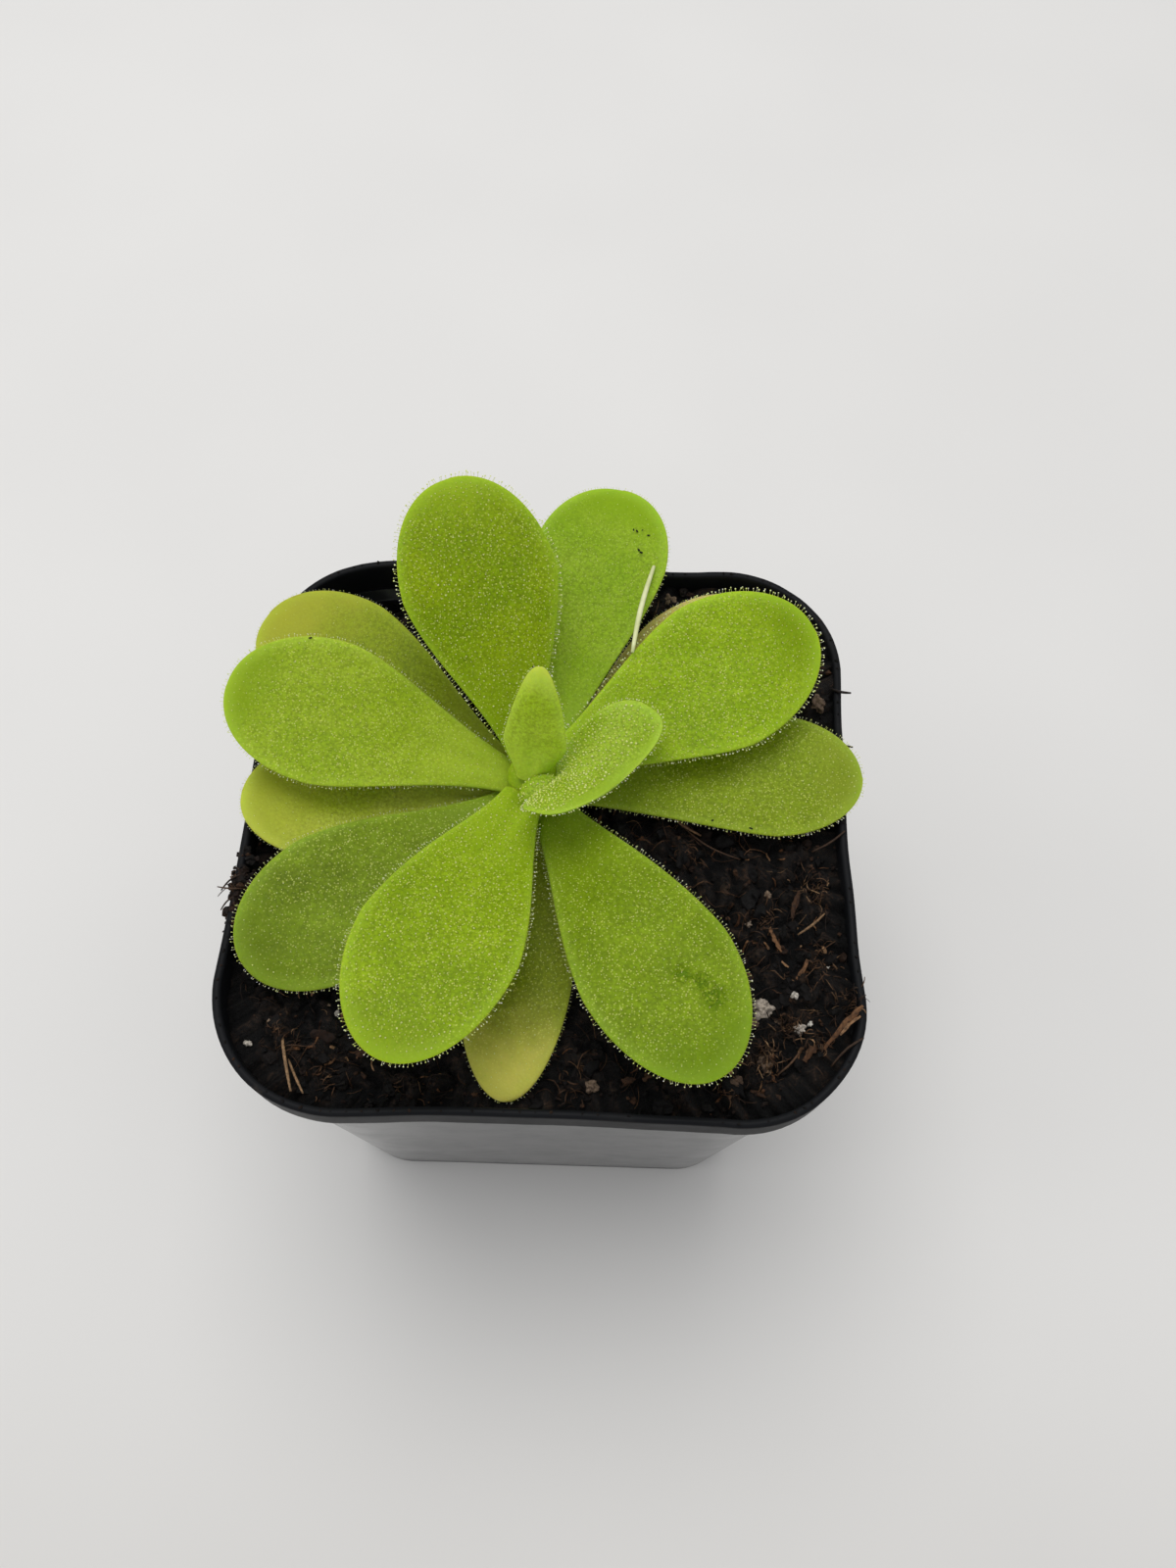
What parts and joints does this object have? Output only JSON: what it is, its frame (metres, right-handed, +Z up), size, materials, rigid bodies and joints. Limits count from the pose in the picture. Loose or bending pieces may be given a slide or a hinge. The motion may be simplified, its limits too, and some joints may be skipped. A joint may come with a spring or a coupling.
{
  "type": "potted butterwort",
  "caption": "Flat rosette of blunt, spoon-shaped sticky leaves on a short stem, growing in a peat-filled square plastic nursery pot with a stepped lip.",
  "frame": {"origin": "middle of the pot's underside, on the surface that it stands on", "axes": "+Z up; -Y is the side that the rosette is looked at from; +X to the right seen from there"},
  "size_m": [0.0793, 0.0823, 0.0907],
  "materials": {
    "pot_plastic": "thin moulded plastic with a soft gloss",
    "peat": "moist, crumbly peat with bark, fibres and white mineral grains",
    "stem": "pale, fleshy and matt",
    "leaf": "fleshy lime green blade set with clear sticky droplets on short hairs"
  },
  "bodies": {
    "root": {"pot": "pot_plastic", "soil": "peat", "stem_and_roots": "stem", "leaf_upper_back": "leaf", "leaf_upper_right": "leaf", "leaf_upper_front": "leaf", "leaf_middle_back": "leaf", "leaf_middle_front": "leaf", "leaf_middle_left": "leaf", "leaf_lower_right": "leaf", "leaf_lower_front": "leaf", "leaf_lower_back": "leaf", "leaf_lowest_front": "leaf", "leaf_lowest_left": "leaf", "leaf_lowest_back": "leaf", "leaf_young_pointed": "leaf", "leaf_young_spoon": "leaf"}
  },
  "joints": []
}
